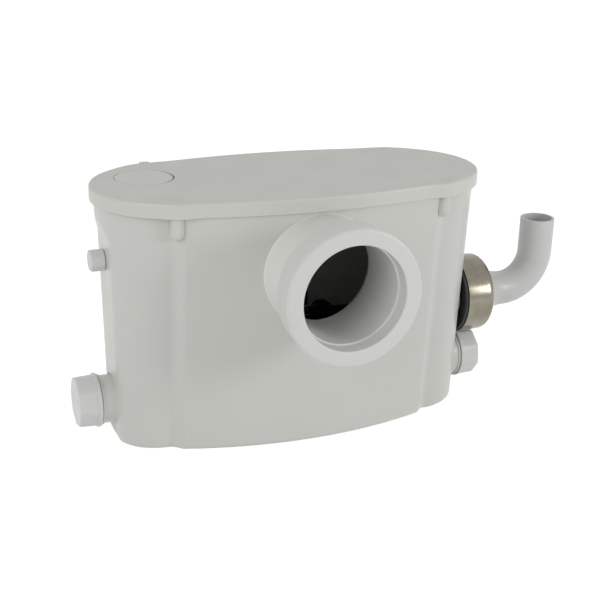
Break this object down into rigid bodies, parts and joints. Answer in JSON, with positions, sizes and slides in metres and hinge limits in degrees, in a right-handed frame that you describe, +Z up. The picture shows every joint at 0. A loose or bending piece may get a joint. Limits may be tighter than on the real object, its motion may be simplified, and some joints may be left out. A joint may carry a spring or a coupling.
{
  "type": "macerator toilet pump",
  "caption": "Lobed white tank with a skirted lid, a round front pan inlet, capped side inlets and a swivelling discharge elbow; a motor inside turns a cutter and an impeller.",
  "frame": {"origin": "middle of the tank's base, on the floor", "axes": "-Y to the pan inlet at the front, +X to the discharge on the right, +Z up"},
  "size_m": [0.5328, 0.2617, 0.258],
  "materials": {
    "tank_plastic": "satin moulded",
    "lid_plastic": "fine matt moulded",
    "soft_white": "soft satin",
    "cap_plastic": "satin moulded",
    "pale_plastic": "satin moulded",
    "black_rubber": "matt",
    "stainless": "polished",
    "steel": "turned",
    "motor_alloy": "as cast",
    "lamination": "stacked sheet",
    "copper": "enamelled wire",
    "nylon": "moulded",
    "carbon": "granular",
    "dark_plastic": "moulded",
    "signal_plastic": "moulded"
  },
  "bodies": {
    "tank_body": {"tank": "tank_plastic", "corner_bosses": "tank_plastic", "inlet_tube": "tank_plastic", "inlet_sleeve": "soft_white", "left_neck": "tank_plastic", "right_neck": "tank_plastic", "stub_tube": "tank_plastic", "left_valve_seat": "nylon", "left_flap_pin": "steel", "right_valve_seat": "nylon", "right_flap_pin": "steel", "discharge_valve_seat": "nylon", "discharge_flap_pin": "steel", "discharge_sleeve": "black_rubber", "clamp_ring": "stainless", "motor_cradle": "dark_plastic", "motor_housing": "motor_alloy", "motor_end_cap": "motor_alloy", "end_cap_screws": "steel", "stator": "lamination", "stator_windings": "copper", "left_bearing": "steel", "right_bearing": "steel", "shaft_seal": "carbon", "basket": "dark_plastic", "tie_bars": "steel", "volute_cover": "dark_plastic", "volute": "dark_plastic", "volute_screws": "steel", "discharge_hose": "black_rubber", "electrics_box": "nylon", "electrics_box_lid": "nylon", "capacitor": "cap_plastic", "terminal_block": "cap_plastic", "pressure_chamber": "dark_plastic", "diaphragm": "black_rubber", "switch_cap": "dark_plastic", "microswitch": "dark_plastic"},
    "spindle": {"rotor": "lamination", "shaft": "steel", "cutter": "steel", "impeller": "dark_plastic"},
    "lid_body": {"lid": "lid_plastic", "lid_seal": "black_rubber", "lid_screws": "steel", "screw_plugs": "lid_plastic", "cable_gland": "lid_plastic"},
    "filter_body": {"charcoal_filter": "carbon"},
    "vent_cap_body": {"vent_cap": "lid_plastic"},
    "left_washer_body": {"left_cap_washer": "black_rubber"},
    "left_cap_body": {"left_cap": "cap_plastic"},
    "right_washer_body": {"right_cap_washer": "black_rubber"},
    "right_cap_body": {"right_cap": "cap_plastic"},
    "stub_cap_body": {"stub_cap": "cap_plastic"},
    "elbow_body": {"discharge_elbow": "pale_plastic"},
    "left_flap_body": {"left_flap": "black_rubber"},
    "right_flap_body": {"right_flap": "black_rubber"},
    "discharge_flap_body": {"discharge_flap": "black_rubber"},
    "plunger_body": {"switch_plunger": "signal_plastic"},
    "button_body": {"switch_button": "signal_plastic"}
  },
  "joints": [
    {"name": "shaft_spin", "type": "hinge", "parent": "tank_body", "child": "spindle", "pos_m": [0, 0, 0.062], "axis": [1, 0, 0], "continuous": true},
    {"name": "lid_lift", "type": "slide", "parent": "tank_body", "child": "lid_body", "axis": [0, 0, 1], "range_m": [0, 0.12]},
    {"name": "filter_lift", "type": "slide", "parent": "lid_body", "child": "filter_body", "axis": [0, 0, 1], "range_m": [0, 0.045]},
    {"name": "vent_cap_turn", "type": "hinge", "parent": "filter_body", "child": "vent_cap_body", "pos_m": [-0.143, 0.024, 0.2565], "axis": [0, 0, 1], "range_deg": [0, 90]},
    {"name": "left_cap_travel", "type": "slide", "parent": "tank_body", "child": "left_washer_body", "axis": [-1, 0, 0], "range_m": [0, 0.0205]},
    {"name": "left_cap_turn", "type": "hinge", "parent": "left_washer_body", "child": "left_cap_body", "pos_m": [-0.21, 0, 0.041], "axis": [-1, 0, 0], "range_deg": [0, 1440]},
    {"name": "right_cap_travel", "type": "slide", "parent": "tank_body", "child": "right_washer_body", "axis": [1, 0, 0], "range_m": [0, 0.0205]},
    {"name": "right_cap_turn", "type": "hinge", "parent": "right_washer_body", "child": "right_cap_body", "pos_m": [0.21, 0, 0.041], "axis": [1, 0, 0], "range_deg": [0, 1440]},
    {"name": "stub_cap_pull", "type": "slide", "parent": "tank_body", "child": "stub_cap_body", "axis": [-1, 0, 0], "range_m": [0, 0.016]},
    {"name": "elbow_swivel", "type": "hinge", "parent": "tank_body", "child": "elbow_body", "pos_m": [0.23, 0, 0.11], "axis": [1, 0, 0], "range_deg": [-90, 90]},
    {"name": "left_flap_swing", "type": "hinge", "parent": "tank_body", "child": "left_flap_body", "pos_m": [-0.1736, 0, 0.063], "axis": [0, -1, 0], "range_deg": [0, 35]},
    {"name": "right_flap_swing", "type": "hinge", "parent": "tank_body", "child": "right_flap_body", "pos_m": [0.1736, 0, 0.063], "axis": [0, 1, 0], "range_deg": [0, 35]},
    {"name": "discharge_flap_swing", "type": "hinge", "parent": "tank_body", "child": "discharge_flap_body", "pos_m": [0.1874, 0, 0.1262], "axis": [0, -1, 0], "range_deg": [0, 55]},
    {"name": "plunger_rise", "type": "slide", "parent": "tank_body", "child": "plunger_body", "axis": [0, 0, 1], "range_m": [0, 0.0015], "stiffness_N_per_m": 400},
    {"name": "button_press", "type": "slide", "parent": "tank_body", "child": "button_body", "axis": [0, 0, 1], "range_m": [0, 0.0015]}
  ],
  "couplings": [
    {"joint": "left_cap_travel", "follows": "left_cap_turn", "m_per_rad": 0.00079577},
    {"joint": "right_cap_travel", "follows": "right_cap_turn", "m_per_rad": 0.00079577},
    {"joint": "button_press", "follows": "plunger_rise", "ratio": 1}
  ]
}
